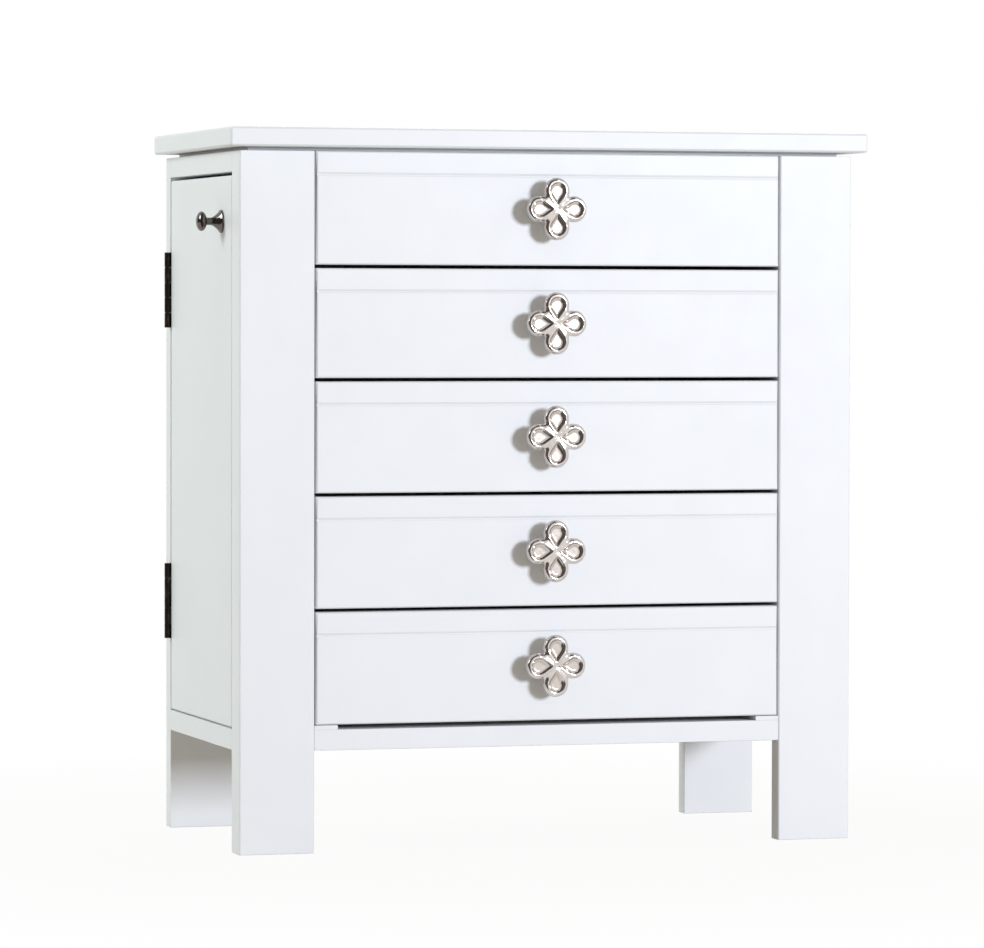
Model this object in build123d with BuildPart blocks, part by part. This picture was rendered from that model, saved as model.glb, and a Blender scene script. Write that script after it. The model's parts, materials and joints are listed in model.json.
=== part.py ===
from build123d import *
import os

os.makedirs("parts", exist_ok=True)

# A tabletop jewellery chest: white painted boards, five drawers behind equal fronts,
# a hinged lid over a ring tray, and a hinged door on each side over a necklace space.
# The origin is on the floor under the middle of the chest, +X right, +Y back, +Z up.
# All sizes are in millimetres.

# Case
case_width = 330.0
case_depth = 161.0
post_width = 39.5
front_board = 10.0
return_depth = 16.0
return_board = 10.0
rear_board = 10.5
leg_height = 52.4
bottom_board_thickness = 10.6
top_board_thickness = 10.5
partition_thickness = 8.0
back_thickness = 6.0
rail_set_back = 0.3
edge_ease = 0.7
cut_margin = 1.0

# Fronts, with their heights from the top one down
front_heights = (57.7, 55.9, 56.9, 57.1, 57.4)
front_gap = 1.8
front_lift = 2.5
front_side_gap = 0.8
front_thickness = 10.0
groove_drop = 11.8
groove_width = 2.0
groove_depth = 0.5

# Drawer boxes and their runners
box_rear_clearance = 13.0
box_height = 42.0
shallow_box_height = 23.5
box_lift = 3.0
box_side = 9.0
box_back = 8.0
bottom_lift = 2.0
bottom_thickness = 3.0
lining_thickness = 1.0
lining_drop = 2.0
runner_height = 8.0
runner_reach = 5.5
runner_clearance = 0.3
groove_bottom_clearance = 0.7
groove_start = 14.0
guide_strip_width = 12.5

# Lid, its tray and what lies in the tray
lid_gap = 1.9
lid_thickness = 9.8
lid_side_overhang = 6.5
lid_front_overhang = 7.5
lid_ease = 0.9
mirror_side_inset = 9.0
mirror_end_inset = 7.0
mirror_thickness = 3.0
mirror_recess = 3.2
mirror_clearance = 0.3
bumper_radius = 4.0
bumper_clearance = 0.3
bumper_inset = 20.0
tray_height = 28.0
tray_wall = 3.0
tray_side_inset = 7.5
tray_front_inset = 20.0
tray_rear_inset = 23.0
divider_thickness = 4.0
divider_height = 15.0
roll_count = 8
roll_gap = 1.15
roll_height = 12.0
roll_crown = 5.2
roll_clearance = 0.4

# Doors, hinges and catches
door_thickness = 10.0
door_front_gap = 0.8
door_rear_gap = 1.2
door_top_gap = 1.8
door_bottom_gap = 0.7
hinge_length = 40.0
hinge_inset = 58.0
knuckle_count = 5
knuckle_gap = 0.3
knuckle_radius = 1.6
pin_radius = 0.9
pin_clearance = 0.05
leaf_thickness = 0.9
leaf_gap = 0.4
leaf_width = 8.5
barrel_clearance = 0.2
lid_hinge_spacing = 190.0
lid_knuckle_count = 3
lid_leaf_width = 8.0
catch_width = 16.0
catch_height = 11.0
catch_length = 13.0
catch_gap = 0.3
strike_thickness = 0.8
strike_size = 12.0
catch_inset = 3.0

# Pulls and hooks
knob_reach = 13.0
knob_plate = 3.4
lobe_count = 4
lobe_radius = 6.7
lobe_offset = 9.3
knob_heart_radius = 6.0
cusp_ease = 0.9
dish_radius = 4.9
dish_offset = 9.5
dish_point_radius = 1.1
dish_point_offset = 2.6
dish_depth = 1.5
dish_taper = 38.0
knob_edge = 0.9
stem_radius = 3.6
stem_foot_radius = 6.0
stem_foot_height = 1.0
stem_flare = 2.4
side_knob_reach = 13.4
side_knob_base_radius = 6.0
side_knob_foot = 0.9
side_knob_flare = 3.4
side_knob_flare_radius = 3.1
side_knob_neck_radius = 2.0
side_knob_neck_length = 1.2
side_knob_head_length = 5.4
side_knob_lip = 0.8
side_knob_lip_radius = 4.7
side_knob_brow_radius = 4.5
side_knob_head_radius = 5.1
side_knob_inset = 37.6
side_knob_drop = 23.2
hook_count = 4
hook_spacing = 26.0
hook_metal = 1.4
hook_width = 2.4
hook_reach = 9.0
hook_rise = 5.0
hook_bend = 2.5
hook_bar_height = 12.0
hook_bar_thickness = 1.2
hook_bar_drop = 9.0
hook_bar_margin = 8.0

# Places that follow from the sizes
half_width = case_width / 2
post_inner = half_width - post_width
bottom_top = leg_height + bottom_board_thickness
fronts_bottom = bottom_top + front_lift
drawer_count = len(front_heights)
post_top = fronts_bottom + sum(front_heights) + (drawer_count - 1) * front_gap
top_bottom = post_top - top_board_thickness
lid_bottom = post_top + lid_gap
lid_top = lid_bottom + lid_thickness
hinge_reach = 2 * knuckle_radius
front_y = (knob_reach - case_depth - hinge_reach) / 2
rear_y = front_y + case_depth
rear_post_y = rear_y - rear_board
case_inner_y = front_y + front_board
return_y = front_y + return_depth
back_panel_y = rear_y - back_thickness
front_half = post_inner - front_side_gap
box_inner_half = front_half - box_side
box_front_y = front_y + front_thickness
box_rear_y = back_panel_y - box_rear_clearance
partition_outer = post_inner + partition_thickness
door_front_y = return_y + door_front_gap
door_rear_y = rear_post_y - door_rear_gap
door_bottom = bottom_top + door_bottom_gap
door_top = top_bottom - door_top_gap
door_inner = half_width - door_thickness
pin_out = half_width + knuckle_radius + barrel_clearance
pin_y = (door_rear_y + rear_post_y) / 2
mortise_depth = leaf_thickness - (door_rear_gap - leaf_gap) / 2
door_hinge_heights = (door_bottom + hinge_inset, door_top - hinge_inset)
lid_pin_y = rear_y + knuckle_radius
lid_pin_z = (post_top + lid_bottom) / 2
tray_half = post_inner - tray_side_inset
tray_front_y = front_y + tray_front_inset
tray_rear_y = rear_y - tray_rear_inset
tray_bottom = post_top - tray_height
tray_floor = tray_bottom + tray_wall + lining_thickness
tray_inner_half = tray_half - tray_wall - lining_thickness
tray_inner_front = tray_front_y + tray_wall + lining_thickness
tray_inner_rear = tray_rear_y - tray_wall - lining_thickness
saved = {}


def save(piece, name):
    """Label one finished piece and write it under its own name."""
    shape = piece.part if isinstance(piece, BuildPart) else piece
    shape.label = name
    saved[name] = shape
    export_step(shape, f"parts/{name}.step")


def slab(x, y, z, mode=Mode.ADD):
    """A square-edged board, or a square cut, between limits along X, Y and Z."""
    with BuildSketch(Plane.XY.offset(z[0])) as plan:
        with Locations(((x[0] + x[1]) / 2, (y[0] + y[1]) / 2)):
            Rectangle(abs(x[1] - x[0]), y[1] - y[0])
    extrude(plan.sketch, amount=z[1] - z[0], mode=mode)


def sided(side, near, far):
    """X limits between two distances from the middle, on the left (-1) or right (+1)."""
    return tuple(sorted((side * near, side * far)))


def front_bottom(number):
    """Height of the lower edge of a drawer front; drawer 1 is at the top."""
    return fronts_bottom + sum(front_heights[number:]) + (drawer_count - number) * front_gap


def front_top(number):
    """Height of the upper edge of a drawer front."""
    return front_bottom(number) + front_heights[number - 1]


def box_size(number):
    """Height limits of a drawer's box: the top one is shallow, under the ring tray."""
    low = front_bottom(number) + box_lift
    return low, low + (shallow_box_height if number == 1 else box_height)


def front_post(side):
    """An L-shaped front post and leg: a front board with a return along the side."""
    with BuildPart() as post:
        slab(sided(side, post_inner, half_width), (front_y, case_inner_y), (0, post_top))
        slab(sided(side, half_width - return_board, half_width), (front_y, return_y), (0, post_top))
        chamfer(post.edges().filter_by(Axis.Z).group_by(Axis.Y)[0], length=edge_ease)
    return post


def rear_post(side):
    """A flat rear post and leg, let in at the front for the door's hinge leaves."""
    with BuildPart() as post:
        slab(sided(side, post_inner, half_width), (rear_post_y, rear_y), (0, post_top))
        chamfer(post.edges().filter_by(Axis.Z).group_by(Axis.Y)[-1], length=edge_ease)
        for height in door_hinge_heights:
            slab(sided(side, half_width - leaf_width, half_width + cut_margin),
                 (rear_post_y - cut_margin, rear_post_y + mortise_depth),
                 (height - hinge_length / 2, height + hinge_length / 2), mode=Mode.SUBTRACT)
    return post


def partition(side):
    """The upright board between the drawers and a necklace space."""
    with BuildPart() as board:
        slab(sided(side, post_inner, partition_outer), (case_inner_y, rear_post_y),
             (bottom_top, top_bottom))
    return board


for side, name in ((-1, "left"), (1, "right")):
    save(front_post(side), f"front_{name}_post")
    save(rear_post(side), f"rear_{name}_post")
    save(partition(side), f"{name}_partition")

# The bottom board shows as the rail under the fronts and under each door
with BuildPart() as bottom_board:
    slab((-half_width, half_width), (front_y + rail_set_back, back_panel_y), (leg_height, bottom_top))
    for side in (-1, 1):
        slab(sided(side, post_inner, half_width), (front_y, case_inner_y), (leg_height, bottom_top),
             mode=Mode.SUBTRACT)
        slab(sided(side, half_width - return_board, half_width), (front_y, return_y),
             (leg_height, bottom_top), mode=Mode.SUBTRACT)
        slab(sided(side, post_inner, half_width), (rear_post_y, rear_y), (leg_height, bottom_top),
             mode=Mode.SUBTRACT)
save(bottom_board, "bottom_board")

# The top board frames the tray and shows as the rail above each door
with BuildPart() as top_board:
    slab((-half_width, half_width), (case_inner_y, rear_y), (top_bottom, post_top))
    slab((-post_inner, post_inner), (front_y, case_inner_y + runner_clearance), (top_bottom, post_top),
         mode=Mode.SUBTRACT)
    slab((-tray_half, tray_half), (tray_front_y, tray_rear_y), (top_bottom, post_top),
         mode=Mode.SUBTRACT)
    for side in (-1, 1):
        slab(sided(side, half_width - return_board, half_width), (front_y, return_y),
             (top_bottom, post_top), mode=Mode.SUBTRACT)
        slab(sided(side, post_inner, half_width), (rear_post_y, rear_y), (top_bottom, post_top),
             mode=Mode.SUBTRACT)
save(top_board, "top_board")

with BuildPart() as back_panel:
    slab((-post_inner, post_inner), (back_panel_y, rear_y), (leg_height, top_bottom))
save(back_panel, "back_panel")

# The tray hangs in the top board, rim flush, with a velvet lining, dividers and ring rolls
with BuildPart() as top_tray:
    slab((-tray_half, tray_half), (tray_front_y, tray_rear_y), (tray_bottom, post_top))
    tray_rim = top_tray.faces().sort_by(Axis.Z)[-1]
    offset(amount=-tray_wall, openings=tray_rim)
save(top_tray, "top_tray")

with BuildPart() as tray_lining:
    slab((-tray_half + tray_wall, tray_half - tray_wall),
         (tray_front_y + tray_wall, tray_rear_y - tray_wall),
         (tray_bottom + tray_wall, post_top - lining_drop))
    offset(amount=-lining_thickness, openings=tray_lining.faces().sort_by(Axis.Z)[-1])
save(tray_lining, "tray_lining")

tray_middle = (tray_inner_front + tray_inner_rear) / 2
with BuildPart() as tray_dividers:
    divider_z = (tray_floor, tray_floor + divider_height)
    slab((-divider_thickness / 2, divider_thickness / 2), (tray_inner_front, tray_inner_rear), divider_z)
    slab((0, tray_inner_half), (tray_middle - divider_thickness / 2, tray_middle + divider_thickness / 2),
         divider_z)
save(tray_dividers, "tray_dividers")

roll_length = tray_inner_half - divider_thickness / 2 - 2 * roll_clearance
roll_pitch = (tray_inner_rear - tray_inner_front) / roll_count
roll_width = roll_pitch - roll_gap
roll_left = Plane.YZ.offset(-tray_inner_half + roll_clearance)
with BuildPart() as ring_rolls:
    with BuildSketch(roll_left):
        for index in range(roll_count):
            middle = tray_inner_front + (index + 0.5) * roll_pitch
            with Locations((middle, tray_floor + roll_clearance + roll_height / 2)):
                Rectangle(roll_width, roll_height)
    extrude(amount=roll_length)
    fillet(ring_rolls.edges().filter_by(Axis.X).group_by(Axis.Z)[-1], radius=roll_crown)
save(ring_rolls, "ring_rolls")

# A hard strip for each drawer on each partition, and a low one beside the lowest front
with BuildPart() as drawer_runners:
    for side in (-1, 1):
        for number in range(1, drawer_count + 1):
            low, high = box_size(number)
            middle = (low + high) / 2
            slab(sided(side, post_inner - runner_reach, post_inner),
                 (front_y + groove_start + runner_clearance, rear_post_y),
                 (middle - runner_height / 2, middle + runner_height / 2))
        slab(sided(side, post_inner - guide_strip_width, post_inner),
             (front_y + rail_set_back, back_panel_y),
             (bottom_top, fronts_bottom - runner_clearance))
save(drawer_runners, "drawer_runners")


def hinge_spans(moving, count):
    """Knuckle limits along the pin: the fixed leaf has the outer ones."""
    pitch = hinge_length / count
    for index in range(count):
        if index % 2 == (1 if moving else 0):
            start = -hinge_length / 2 + index * pitch
            yield (start + (knuckle_gap / 2 if index else 0),
                   start + pitch - (knuckle_gap / 2 if index < count - 1 else 0))


def hinge_half(pin_plane, near, far, low, high, moving, count):
    """A leaf and its knuckles; near, far, low and high bound the leaf across the pin."""
    leaf_middle = (low + high) / 2
    bore = pin_radius + (pin_clearance if moving else 0)
    with BuildSketch(pin_plane.offset(-hinge_length / 2)) as leaf:
        with Locations(((near + far) / 2, leaf_middle)):
            Rectangle(abs(far - near), high - low)
    extrude(leaf.sketch, amount=hinge_length)
    for start, end in hinge_spans(moving, count):
        with BuildSketch(pin_plane.offset(start)) as knuckle:
            Circle(knuckle_radius)
            with Locations((near / 2, leaf_middle)):
                Rectangle(abs(near), high - low)
            Circle(bore, mode=Mode.SUBTRACT)
        extrude(knuckle.sketch, amount=end - start)


def hinge_pin(pin_plane):
    """The pin through all knuckles of one hinge."""
    with BuildSketch(pin_plane.offset(-hinge_length / 2)) as pin:
        Circle(pin_radius)
    extrude(pin.sketch, amount=hinge_length)


def door_pin_plane(side, height):
    """Across the pin: local x runs inwards, local y backwards or forwards by the side."""
    return Plane(origin=(side * pin_out, pin_y, height), x_dir=(-side, 0, 0), z_dir=(0, 0, 1))


def door_hinges(side, name):
    """Two butt hinges let into the post and the door edge, with the barrel outside."""
    near = pin_out - half_width
    far = near + leaf_width
    with BuildPart() as fixed:
        for height in door_hinge_heights:
            low, high = sorted((-side * leaf_gap / 2, -side * (leaf_gap / 2 + leaf_thickness)))
            hinge_half(door_pin_plane(side, height), near, far, low, high, False, knuckle_count)
    with BuildPart() as moving:
        for height in door_hinge_heights:
            low, high = sorted((side * leaf_gap / 2, side * (leaf_gap / 2 + leaf_thickness)))
            hinge_half(door_pin_plane(side, height), near, far, low, high, True, knuckle_count)
    with BuildPart() as pins:
        for height in door_hinge_heights:
            hinge_pin(door_pin_plane(side, height))
    save(fixed, f"{name}_door_hinge_fixed_leaves")
    save(moving, f"{name}_door_hinge_moving_leaves")
    save(pins, f"{name}_door_hinge_pins")


def door(side):
    """A plain slab door, let in at the rear edge for its hinge leaves."""
    with BuildPart() as panel:
        slab(sided(side, door_inner, half_width), (door_front_y, door_rear_y), (door_bottom, door_top))
        chamfer(panel.faces().sort_by(Axis.X)[-1 if side > 0 else 0].edges(), length=edge_ease)
        for height in door_hinge_heights:
            slab(sided(side, half_width - leaf_width, half_width + cut_margin),
                 (door_rear_y - mortise_depth, door_rear_y + cut_margin),
                 (height - hinge_length / 2, height + hinge_length / 2), mode=Mode.SUBTRACT)
    return panel


def side_knob(side):
    """A turned knob: flared foot, thin neck and a mushroom head, on its axis along X."""
    foot = (side * half_width, door_front_y - door_front_gap + side_knob_inset - return_depth,
            door_top - side_knob_drop)
    turning = Plane(origin=foot, x_dir=(side, 0, 0), z_dir=(0, -side, 0))
    neck = side_knob_reach - side_knob_head_length
    rim = neck + side_knob_head_length / 3
    brow = rim + side_knob_head_length / 4
    with BuildPart() as knob:
        with BuildSketch(turning):
            with BuildLine():
                Polyline((neck, side_knob_neck_radius), (neck - side_knob_neck_length, side_knob_neck_radius),
                         (side_knob_flare, side_knob_flare_radius), (side_knob_foot, side_knob_base_radius),
                         (0, side_knob_base_radius), (0, 0), (side_knob_reach, 0))
                TangentArc((side_knob_reach, 0), (brow, side_knob_brow_radius), tangent=(0, 1))
                Polyline((brow, side_knob_brow_radius), (rim, side_knob_head_radius),
                         (rim - side_knob_lip, side_knob_lip_radius), (neck, side_knob_neck_radius))
            make_face()
        revolve(axis=Axis(foot, (side, 0, 0)))
    return knob


def strike(side):
    """The steel plate on the door's inner face that the magnet holds."""
    low = door_top - catch_inset - strike_size
    middle = door_front_y + catch_inset + strike_size / 2
    with BuildPart() as plate:
        slab(sided(side, door_inner - strike_thickness, door_inner),
             (middle - strike_size / 2, middle + strike_size / 2), (low, low + strike_size))
    return plate


def hook_bar(side):
    """A bar with stamped hooks for necklaces, on the partition under the top board."""
    bar_top = top_bottom - hook_bar_drop
    middle_y = (door_front_y + door_rear_y) / 2
    first = middle_y - (hook_count - 1) * hook_spacing / 2
    bar_half = (hook_count - 1) * hook_spacing / 2 + hook_bar_margin
    face = partition_outer + hook_bar_thickness
    level = bar_top - hook_bar_height / 2
    with BuildPart() as bar:
        slab(sided(side, partition_outer, face), (middle_y - bar_half, middle_y + bar_half),
             (bar_top - hook_bar_height, bar_top))
        for index in range(hook_count):
            across = Plane(origin=(0, first + index * hook_spacing, level), x_dir=(side, 0, 0),
                           z_dir=(0, -side, 0))
            with BuildSketch(across) as hook:
                with BuildLine():
                    FilletPolyline((face - hook_bar_thickness / 2, 0), (face + hook_reach, 0),
                                   (face + hook_reach, hook_rise), radius=hook_bend)
                trace(line_width=hook_metal)
            extrude(hook.sketch, amount=hook_width / 2, both=True)
    return bar


for side, name in ((-1, "left"), (1, "right")):
    door_hinges(side, name)
    save(door(side), f"{name}_door")
    save(side_knob(side), f"{name}_door_knob")
    save(strike(side), f"{name}_door_strike")
    save(hook_bar(side), f"{name}_necklace_hooks")

# A magnet in its case under the top board, just clear of each door's strike
with BuildPart() as door_catches:
    catch_face = door_inner - strike_thickness - catch_gap
    catch_middle = door_front_y + catch_inset + strike_size / 2
    for side in (-1, 1):
        slab(sided(side, catch_face - catch_length, catch_face),
             (catch_middle - catch_width / 2, catch_middle + catch_width / 2),
             (top_bottom - catch_height, top_bottom))
save(door_catches, "door_catches")

# The lid lies over the case with a shadow gap, on bumpers, with a mirror let in below
mirror_half = tray_half - mirror_side_inset
mirror_front_y = tray_front_y + mirror_end_inset
mirror_rear_y = tray_rear_y - mirror_end_inset
with BuildPart() as lid_panel:
    slab((-half_width - lid_side_overhang, half_width + lid_side_overhang),
         (front_y - lid_front_overhang, rear_y), (lid_bottom, lid_top))
    chamfer(lid_panel.edges(), length=lid_ease)
    slab((-mirror_half - mirror_clearance, mirror_half + mirror_clearance),
         (mirror_front_y - mirror_clearance, mirror_rear_y + mirror_clearance),
         (lid_bottom, lid_bottom + mirror_recess), mode=Mode.SUBTRACT)
save(lid_panel, "lid_panel")

with BuildPart() as lid_mirror:
    slab((-mirror_half, mirror_half), (mirror_front_y, mirror_rear_y),
         (lid_bottom + mirror_recess - mirror_thickness, lid_bottom + mirror_recess))
save(lid_mirror, "lid_mirror")

with BuildPart() as lid_bumpers:
    with BuildSketch(Plane.XY.offset(post_top)):
        for side in (-1, 1):
            with Locations((side * (half_width - bumper_inset), tray_front_y)):
                Circle(bumper_radius)
    extrude(amount=lid_gap - bumper_clearance)
save(lid_bumpers, "lid_bumpers")


def lid_pin_plane(side):
    """Across a lid pin: local x runs upwards, local y forwards."""
    return Plane(origin=(side * lid_hinge_spacing / 2, lid_pin_y, lid_pin_z),
                 x_dir=(0, 0, 1), z_dir=(1, 0, 0))


leaf_start = knuckle_radius + barrel_clearance
lid_leaf = dict(low=knuckle_radius - leaf_thickness, high=knuckle_radius, count=lid_knuckle_count)
with BuildPart() as lid_fixed_leaves:
    for side in (-1, 1):
        hinge_half(lid_pin_plane(side), -leaf_start, -lid_gap / 2 - lid_leaf_width,
                   moving=False, **lid_leaf)
save(lid_fixed_leaves, "lid_hinge_fixed_leaves")
with BuildPart() as lid_moving_leaves:
    for side in (-1, 1):
        hinge_half(lid_pin_plane(side), leaf_start, lid_gap / 2 + lid_leaf_width,
                   moving=True, **lid_leaf)
save(lid_moving_leaves, "lid_hinge_moving_leaves")
with BuildPart() as lid_pins:
    for side in (-1, 1):
        hinge_pin(lid_pin_plane(side))
save(lid_pins, "lid_hinge_pins")


def drawer_front(number):
    """A front with eased edges and a fine V-groove along its full width."""
    level = front_top(number) - groove_drop
    with BuildPart() as front:
        slab((-front_half, front_half), (front_y, front_y + front_thickness),
             (front_bottom(number), front_top(number)))
        chamfer(front.faces().sort_by(Axis.Y)[0].edges(), length=edge_ease)
        with BuildSketch(Plane.YZ.offset(-front_half)):
            with BuildLine():
                Polyline((front_y, level - groove_width / 2), (front_y + groove_depth, level),
                         (front_y, level + groove_width / 2), (front_y - cut_margin, level), close=True)
            make_face()
        extrude(amount=2 * front_half, mode=Mode.SUBTRACT)
    return front


def drawer_box(number):
    """Two grooved sides with the back between them, as separate boards."""
    low, high = box_size(number)
    middle = (low + high) / 2
    groove_half = runner_height / 2 + runner_clearance
    boards = []
    for side in (-1, 1):
        with BuildPart() as side_board:
            slab(sided(side, box_inner_half, front_half), (box_front_y, box_rear_y), (low, high))
            slab(sided(side, post_inner - runner_reach - groove_bottom_clearance, front_half),
                 (front_y + groove_start, box_rear_y), (middle - groove_half, middle + groove_half),
                 mode=Mode.SUBTRACT)
        boards.append(side_board.part)
    with BuildPart() as back_board:
        slab((-box_inner_half, box_inner_half), (box_rear_y - box_back, box_rear_y), (low, high))
    boards.append(back_board.part)
    return Compound(children=boards)


def drawer_bottom(number):
    """The thin panel between the drawer's sides."""
    low = box_size(number)[0] + bottom_lift
    with BuildPart() as panel:
        slab((-box_inner_half, box_inner_half), (box_front_y, box_rear_y - box_back),
             (low, low + bottom_thickness))
    return panel


def drawer_lining(number):
    """Velvet on the drawer's bottom and walls: an open tray one lining thick."""
    low, high = box_size(number)
    with BuildPart() as lining:
        slab((-box_inner_half, box_inner_half), (box_front_y, box_rear_y - box_back),
             (low + bottom_lift + bottom_thickness, high - lining_drop))
        offset(amount=-lining_thickness, openings=lining.faces().sort_by(Axis.Z)[-1])
    return lining


def drawer_knob(number):
    """A cast knob: a quatrefoil plate with four teardrop dishes, on a waisted stem."""
    centre = (0, front_y, (front_bottom(number) + front_top(number)) / 2)
    seat = Plane(origin=centre, x_dir=(1, 0, 0), z_dir=(0, -1, 0))
    turning = Plane(origin=centre, x_dir=(1, 0, 0), z_dir=(0, 0, 1))
    plate_back = knob_reach - knob_plate
    with BuildPart() as knob:
        with BuildSketch(seat.offset(plate_back)) as outline:
            with PolarLocations(lobe_offset, lobe_count):
                Circle(lobe_radius)
            Circle(knob_heart_radius)
            chamfer(outline.vertices(), length=cusp_ease)
        extrude(amount=knob_plate)
        chamfer(knob.faces().sort_by(Axis.Y)[0].outer_wire().edges(), length=knob_edge)
        with BuildSketch(turning):
            with BuildLine():
                Polyline((0, 0), (stem_foot_radius, 0), (stem_foot_radius, -stem_foot_height),
                         (stem_radius, -stem_foot_height - stem_flare), (stem_radius, -plate_back),
                         (0, -plate_back), close=True)
            make_face()
        revolve(axis=Axis(centre, (0, 1, 0)))
        for turn in range(lobe_count):
            facing = Plane(seat.offset(knob_reach).location * Rotation(0, 0, turn * 360 / lobe_count))
            with BuildSketch(facing) as dish:
                with Locations((dish_offset, 0)):
                    Circle(dish_radius)
                with Locations((dish_point_offset, 0)):
                    Circle(dish_point_radius)
                make_hull()
            extrude(dish.sketch, amount=-dish_depth, taper=dish_taper, mode=Mode.SUBTRACT)
    return knob


for number in range(1, drawer_count + 1):
    save(drawer_front(number), f"drawer_{number}_front")
    save(drawer_box(number), f"drawer_{number}_box")
    save(drawer_bottom(number), f"drawer_{number}_bottom")
    save(drawer_lining(number), f"drawer_{number}_lining")
    save(drawer_knob(number), f"drawer_{number}_knob")

whole = Compound(children=list(saved.values())).bounding_box()
print(len(saved), "nodes, box", whole.min, whole.max)
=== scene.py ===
# %% [markdown]
# # Dressing a white jewellery chest
# The chest is a small case of white painted fibreboard with five drawers, a lifting lid and a door on each
# side. Its boards, hinges and slides arrive as a finished model, in metres, and this lesson gives them the
# looks of the real thing: paint, plated metal, velvet, mirror glass. Boards keep their shape and only get a
# soft edge. Pieces whose beauty is in their curves, such as the cast knobs, are modelled anew in mesh code.

# %% Load the model
import json
import math

import bmesh
import bpy
import numpy as np
from mathutils import Matrix, Vector


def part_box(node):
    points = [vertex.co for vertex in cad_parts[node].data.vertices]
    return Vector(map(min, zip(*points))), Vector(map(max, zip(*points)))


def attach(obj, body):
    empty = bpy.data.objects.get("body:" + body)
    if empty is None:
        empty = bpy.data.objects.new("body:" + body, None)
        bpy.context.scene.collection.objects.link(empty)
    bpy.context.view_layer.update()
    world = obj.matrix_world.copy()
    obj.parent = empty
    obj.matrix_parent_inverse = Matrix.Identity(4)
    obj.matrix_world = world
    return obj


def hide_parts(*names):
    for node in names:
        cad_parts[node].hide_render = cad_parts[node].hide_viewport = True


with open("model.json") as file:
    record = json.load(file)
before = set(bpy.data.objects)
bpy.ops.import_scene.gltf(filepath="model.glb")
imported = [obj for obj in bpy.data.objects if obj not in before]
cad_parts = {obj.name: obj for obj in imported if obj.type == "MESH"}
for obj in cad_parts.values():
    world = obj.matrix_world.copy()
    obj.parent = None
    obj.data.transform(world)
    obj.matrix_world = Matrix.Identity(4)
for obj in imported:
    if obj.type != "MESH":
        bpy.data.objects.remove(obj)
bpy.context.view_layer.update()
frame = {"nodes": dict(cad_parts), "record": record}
nodes = frame["nodes"]
body_of_node = {node: body for body, members in frame["record"]["behaviour"]["bodies"].items()
                for node in members}
slot_of_node = {part["node"]: part["material_slot"] for part in frame["record"]["subparts"]}
MM = 0.001

# %% [markdown]
# ## The viewpoint
# A product photographer stands well back and uses a long lens, so that upright edges stay upright. The
# place and the three angles below put the corners of the case where the photograph has them.

# %% Camera
def add_object(name, data):
    """An object with this data, linked into the scene."""
    added = bpy.data.objects.new(name, data)
    bpy.context.scene.collection.objects.link(added)
    return added


PHOTO_WIDTH = 984
SENSOR_WIDTH = 36.0
focal_length_in_pixels = 5269.7
camera_place = Vector((-0.81705, -2.66565, 0.27668))
turn_to_right, tilt_down, roll = math.radians(16.876), math.radians(1.774), math.radians(0.112)

camera_data = bpy.data.cameras.new("photo_camera")
camera_data.sensor_width = SENSOR_WIDTH
camera_data.lens = focal_length_in_pixels * SENSOR_WIDTH / PHOTO_WIDTH
camera = add_object("photo_camera", camera_data)
camera.matrix_world = (Matrix.Translation(camera_place) @ Matrix.Rotation(-turn_to_right, 4, "Z")
                       @ Matrix.Rotation(math.pi / 2 - tilt_down, 4, "X") @ Matrix.Rotation(roll, 4, "Z"))
bpy.context.scene.camera = camera
print("lens", round(camera_data.lens, 1), "mm, standing", round(camera_place.length, 2), "m away")

# %% [markdown]
# ## Colours and nodes
# Colours are written as sRGB hex values, as a paint chart gives them, and shaders need them as linear
# light. One function does that. Another adds any shader node together with its settings and its wires, so
# that each material below reads as a short list of what it is made of.

# %% Helpers for materials
def linear(hex_colour):
    """The linear red, green, blue and alpha of an sRGB hex colour."""
    parts = [int(hex_colour[i:i + 2], 16) / 255 for i in (0, 2, 4)]
    return tuple(p / 12.92 if p <= 0.04045 else ((p + 0.055) / 1.055) ** 2.4 for p in parts) + (1.0,)


def wire(node, sources):
    """Link sockets of a node to the outputs that feed them, in the tree that the node belongs to."""
    for socket, source in sources.items():
        node.id_data.links.new(source, node.inputs[socket])


def add_node(tree, kind, settings=None, values=None, wires=None):
    """Add a node: settings are its own options, values its unlinked sockets, wires its incoming links."""
    node = tree.nodes.new(kind)
    for option, value in (settings or {}).items():
        setattr(node, option, value)
    for socket, value in (values or {}).items():
        node.inputs[socket].default_value = value
    wire(node, wires or {})
    return node


def new_material(name, constants):
    """A material with its Principled shader, whose constant sockets are set directly."""
    material = bpy.data.materials.new(name)
    material.use_nodes = True
    shader = material.node_tree.nodes["Principled BSDF"]
    for socket, value in constants.items():
        shader.inputs[socket].default_value = value
    place = add_node(material.node_tree, "ShaderNodeTexCoord").outputs["Object"]
    return material, shader, place


print("a mid grey 808080 is", round(linear("808080")[0], 3), "in linear light")

# %% [markdown]
# ## Patterns in millimetres
# No real surface is one even colour. Nearly every finish here starts from noise whose blotches have a real
# size, such as the width of a fibre. The noise then chooses between two close colours or roughness values,
# and lifts the surface by a hair's breadth. Finishes with only one pattern share one function.

# %% Helpers for patterns
def speckle(place, size_mm, detail=2.0, stretch=(1, 1, 1)):
    """Noise whose blotches measure size_mm, longer along an axis where stretch is above 1."""
    scaled = add_node(place.id_data, "ShaderNodeMapping", wires={"Vector": place},
                      values={"Scale": tuple(1 / s for s in stretch)})
    return add_node(place.id_data, "ShaderNodeTexNoise", wires={"Vector": scaled.outputs["Vector"]},
                    values={"Scale": 1 / (size_mm * MM), "Detail": detail}).outputs["Fac"]


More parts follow.
